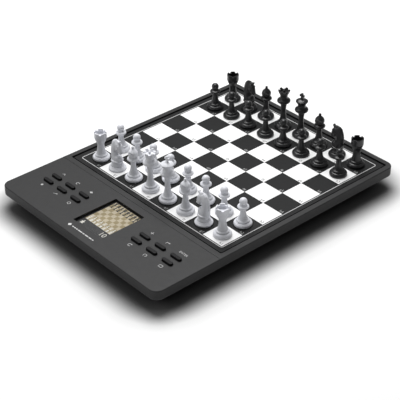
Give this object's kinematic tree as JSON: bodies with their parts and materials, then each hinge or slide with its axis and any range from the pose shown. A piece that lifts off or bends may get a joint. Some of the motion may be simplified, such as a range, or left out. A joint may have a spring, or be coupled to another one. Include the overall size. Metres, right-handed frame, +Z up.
{
  "type": "electronic chess computer",
  "caption": "Flat electronic chess board with a printed pressure board, a panel of pill keys round a small screen, and a standing set of loose turned pieces.",
  "frame": {"origin": "centre of the slab's footprint, on the surface it stands on", "axes": "+X runs from file a to file h, +Y from white's side, where the panel is, to black's side, +Z up"},
  "size_m": [0.2284, 0.302, 0.0707],
  "materials": {
    "case_plastic": "fine matte moulding texture",
    "support_steel": "bare sheet",
    "sensor_film": "printed film",
    "board_print": "printed satin sheet",
    "circuit_board": "solder resist",
    "silicone": "matte",
    "window_clear": "clear gloss",
    "display": "flat panel",
    "speaker_frame": "black paint",
    "battery_jacket": "printed sleeve",
    "contact_metal": "nickel plated spring steel",
    "screw_steel": "blackened",
    "foot_rubber": "matte",
    "socket_shell": "satin",
    "key_plastic": "matte",
    "white_piece_plastic": "satin",
    "black_piece_plastic": "satin gloss"
  },
  "bodies": {
    "root": {"top_case": "case_plastic", "bottom_case": "case_plastic", "board_support_plate": "support_steel", "sensor_membrane": "sensor_film", "playing_sheet": "board_print", "main_circuit_board": "circuit_board", "keypad_mat": "silicone", "display_window": "window_clear", "display_module": "display", "speaker": "speaker_frame", "aa_batteries": "battery_jacket", "battery_contacts": "contact_metal", "case_screws": "screw_steel", "rubber_feet": "foot_rubber", "power_socket": "socket_shell"},
    "battery_door": {"battery_door": "case_plastic"},
    "upper_key_1": {"upper_key_1": "key_plastic"},
    "upper_key_2": {"upper_key_2": "key_plastic"},
    "upper_key_3": {"upper_key_3": "key_plastic"},
    "upper_key_4": {"upper_key_4": "key_plastic"},
    "upper_key_5": {"upper_key_5": "key_plastic"},
    "upper_key_6": {"upper_key_6": "key_plastic"},
    "lower_key_1": {"lower_key_1": "key_plastic"},
    "lower_key_2": {"lower_key_2": "key_plastic"},
    "lower_key_3": {"lower_key_3": "key_plastic"},
    "lower_key_4": {"lower_key_4": "key_plastic"},
    "lower_key_5": {"lower_key_5": "key_plastic"},
    "lower_key_6": {"lower_key_6": "key_plastic"},
    "white_rook_a": {"white_rook_a": "white_piece_plastic"},
    "white_pawn_a": {"white_pawn_a": "white_piece_plastic"},
    "white_knight_b": {"white_knight_b": "white_piece_plastic"},
    "white_pawn_b": {"white_pawn_b": "white_piece_plastic"},
    "white_bishop_c": {"white_bishop_c": "white_piece_plastic"},
    "white_pawn_c": {"white_pawn_c": "white_piece_plastic"},
    "white_queen": {"white_queen": "white_piece_plastic"},
    "white_pawn_d": {"white_pawn_d": "white_piece_plastic"},
    "white_king": {"white_king": "white_piece_plastic"},
    "white_pawn_e": {"white_pawn_e": "white_piece_plastic"},
    "white_bishop_f": {"white_bishop_f": "white_piece_plastic"},
    "white_pawn_f": {"white_pawn_f": "white_piece_plastic"},
    "white_knight_g": {"white_knight_g": "white_piece_plastic"},
    "white_pawn_g": {"white_pawn_g": "white_piece_plastic"},
    "white_rook_h": {"white_rook_h": "white_piece_plastic"},
    "white_pawn_h": {"white_pawn_h": "white_piece_plastic"},
    "black_rook_a": {"black_rook_a": "black_piece_plastic"},
    "black_pawn_a": {"black_pawn_a": "black_piece_plastic"},
    "black_knight_b": {"black_knight_b": "black_piece_plastic"},
    "black_pawn_b": {"black_pawn_b": "black_piece_plastic"},
    "black_bishop_c": {"black_bishop_c": "black_piece_plastic"},
    "black_pawn_c": {"black_pawn_c": "black_piece_plastic"},
    "black_queen": {"black_queen": "black_piece_plastic"},
    "black_pawn_d": {"black_pawn_d": "black_piece_plastic"},
    "black_king": {"black_king": "black_piece_plastic"},
    "black_pawn_e": {"black_pawn_e": "black_piece_plastic"},
    "black_bishop_f": {"black_bishop_f": "black_piece_plastic"},
    "black_pawn_f": {"black_pawn_f": "black_piece_plastic"},
    "black_knight_g": {"black_knight_g": "black_piece_plastic"},
    "black_pawn_g": {"black_pawn_g": "black_piece_plastic"},
    "black_rook_h": {"black_rook_h": "black_piece_plastic"},
    "black_pawn_h": {"black_pawn_h": "black_piece_plastic"}
  },
  "joints": [
    {"name": "battery_door_hinge", "type": "hinge", "parent": "root", "child": "battery_door", "pos_m": [0, -0.011, 0.0015], "axis": [-1, 0, 0], "range_deg": [0, 90]},
    {"name": "upper_key_1_press", "type": "slide", "parent": "root", "child": "upper_key_1", "axis": [0, 0, -1], "range_m": [0, 0.0008], "stiffness_N_per_m": 300},
    {"name": "upper_key_2_press", "type": "slide", "parent": "root", "child": "upper_key_2", "axis": [0, 0, -1], "range_m": [0, 0.0008], "stiffness_N_per_m": 300},
    {"name": "upper_key_3_press", "type": "slide", "parent": "root", "child": "upper_key_3", "axis": [0, 0, -1], "range_m": [0, 0.0008], "stiffness_N_per_m": 300},
    {"name": "upper_key_4_press", "type": "slide", "parent": "root", "child": "upper_key_4", "axis": [0, 0, -1], "range_m": [0, 0.0008], "stiffness_N_per_m": 300},
    {"name": "upper_key_5_press", "type": "slide", "parent": "root", "child": "upper_key_5", "axis": [0, 0, -1], "range_m": [0, 0.0008], "stiffness_N_per_m": 300},
    {"name": "upper_key_6_press", "type": "slide", "parent": "root", "child": "upper_key_6", "axis": [0, 0, -1], "range_m": [0, 0.0008], "stiffness_N_per_m": 300},
    {"name": "lower_key_1_press", "type": "slide", "parent": "root", "child": "lower_key_1", "axis": [0, 0, -1], "range_m": [0, 0.0008], "stiffness_N_per_m": 300},
    {"name": "lower_key_2_press", "type": "slide", "parent": "root", "child": "lower_key_2", "axis": [0, 0, -1], "range_m": [0, 0.0008], "stiffness_N_per_m": 300},
    {"name": "lower_key_3_press", "type": "slide", "parent": "root", "child": "lower_key_3", "axis": [0, 0, -1], "range_m": [0, 0.0008], "stiffness_N_per_m": 300},
    {"name": "lower_key_4_press", "type": "slide", "parent": "root", "child": "lower_key_4", "axis": [0, 0, -1], "range_m": [0, 0.0008], "stiffness_N_per_m": 300},
    {"name": "lower_key_5_press", "type": "slide", "parent": "root", "child": "lower_key_5", "axis": [0, 0, -1], "range_m": [0, 0.0008], "stiffness_N_per_m": 300},
    {"name": "lower_key_6_press", "type": "slide", "parent": "root", "child": "lower_key_6", "axis": [0, 0, -1], "range_m": [0, 0.0008], "stiffness_N_per_m": 300},
    {"name": "white_rook_a_lift", "type": "slide", "parent": "root", "child": "white_rook_a", "axis": [0, 0, 1], "range_m": [0, 0.08]},
    {"name": "white_pawn_a_lift", "type": "slide", "parent": "root", "child": "white_pawn_a", "axis": [0, 0, 1], "range_m": [0, 0.08]},
    {"name": "white_knight_b_lift", "type": "slide", "parent": "root", "child": "white_knight_b", "axis": [0, 0, 1], "range_m": [0, 0.08]},
    {"name": "white_pawn_b_lift", "type": "slide", "parent": "root", "child": "white_pawn_b", "axis": [0, 0, 1], "range_m": [0, 0.08]},
    {"name": "white_bishop_c_lift", "type": "slide", "parent": "root", "child": "white_bishop_c", "axis": [0, 0, 1], "range_m": [0, 0.08]},
    {"name": "white_pawn_c_lift", "type": "slide", "parent": "root", "child": "white_pawn_c", "axis": [0, 0, 1], "range_m": [0, 0.08]},
    {"name": "white_queen_lift", "type": "slide", "parent": "root", "child": "white_queen", "axis": [0, 0, 1], "range_m": [0, 0.08]},
    {"name": "white_pawn_d_lift", "type": "slide", "parent": "root", "child": "white_pawn_d", "axis": [0, 0, 1], "range_m": [0, 0.08]},
    {"name": "white_king_lift", "type": "slide", "parent": "root", "child": "white_king", "axis": [0, 0, 1], "range_m": [0, 0.08]},
    {"name": "white_pawn_e_lift", "type": "slide", "parent": "root", "child": "white_pawn_e", "axis": [0, 0, 1], "range_m": [0, 0.08]},
    {"name": "white_bishop_f_lift", "type": "slide", "parent": "root", "child": "white_bishop_f", "axis": [0, 0, 1], "range_m": [0, 0.08]},
    {"name": "white_pawn_f_lift", "type": "slide", "parent": "root", "child": "white_pawn_f", "axis": [0, 0, 1], "range_m": [0, 0.08]},
    {"name": "white_knight_g_lift", "type": "slide", "parent": "root", "child": "white_knight_g", "axis": [0, 0, 1], "range_m": [0, 0.08]},
    {"name": "white_pawn_g_lift", "type": "slide", "parent": "root", "child": "white_pawn_g", "axis": [0, 0, 1], "range_m": [0, 0.08]},
    {"name": "white_rook_h_lift", "type": "slide", "parent": "root", "child": "white_rook_h", "axis": [0, 0, 1], "range_m": [0, 0.08]},
    {"name": "white_pawn_h_lift", "type": "slide", "parent": "root", "child": "white_pawn_h", "axis": [0, 0, 1], "range_m": [0, 0.08]},
    {"name": "black_rook_a_lift", "type": "slide", "parent": "root", "child": "black_rook_a", "axis": [0, 0, 1], "range_m": [0, 0.08]},
    {"name": "black_pawn_a_lift", "type": "slide", "parent": "root", "child": "black_pawn_a", "axis": [0, 0, 1], "range_m": [0, 0.08]},
    {"name": "black_knight_b_lift", "type": "slide", "parent": "root", "child": "black_knight_b", "axis": [0, 0, 1], "range_m": [0, 0.08]},
    {"name": "black_pawn_b_lift", "type": "slide", "parent": "root", "child": "black_pawn_b", "axis": [0, 0, 1], "range_m": [0, 0.08]},
    {"name": "black_bishop_c_lift", "type": "slide", "parent": "root", "child": "black_bishop_c", "axis": [0, 0, 1], "range_m": [0, 0.08]},
    {"name": "black_pawn_c_lift", "type": "slide", "parent": "root", "child": "black_pawn_c", "axis": [0, 0, 1], "range_m": [0, 0.08]},
    {"name": "black_queen_lift", "type": "slide", "parent": "root", "child": "black_queen", "axis": [0, 0, 1], "range_m": [0, 0.08]},
    {"name": "black_pawn_d_lift", "type": "slide", "parent": "root", "child": "black_pawn_d", "axis": [0, 0, 1], "range_m": [0, 0.08]},
    {"name": "black_king_lift", "type": "slide", "parent": "root", "child": "black_king", "axis": [0, 0, 1], "range_m": [0, 0.08]},
    {"name": "black_pawn_e_lift", "type": "slide", "parent": "root", "child": "black_pawn_e", "axis": [0, 0, 1], "range_m": [0, 0.08]},
    {"name": "black_bishop_f_lift", "type": "slide", "parent": "root", "child": "black_bishop_f", "axis": [0, 0, 1], "range_m": [0, 0.08]},
    {"name": "black_pawn_f_lift", "type": "slide", "parent": "root", "child": "black_pawn_f", "axis": [0, 0, 1], "range_m": [0, 0.08]},
    {"name": "black_knight_g_lift", "type": "slide", "parent": "root", "child": "black_knight_g", "axis": [0, 0, 1], "range_m": [0, 0.08]},
    {"name": "black_pawn_g_lift", "type": "slide", "parent": "root", "child": "black_pawn_g", "axis": [0, 0, 1], "range_m": [0, 0.08]},
    {"name": "black_rook_h_lift", "type": "slide", "parent": "root", "child": "black_rook_h", "axis": [0, 0, 1], "range_m": [0, 0.08]},
    {"name": "black_pawn_h_lift", "type": "slide", "parent": "root", "child": "black_pawn_h", "axis": [0, 0, 1], "range_m": [0, 0.08]}
  ]
}
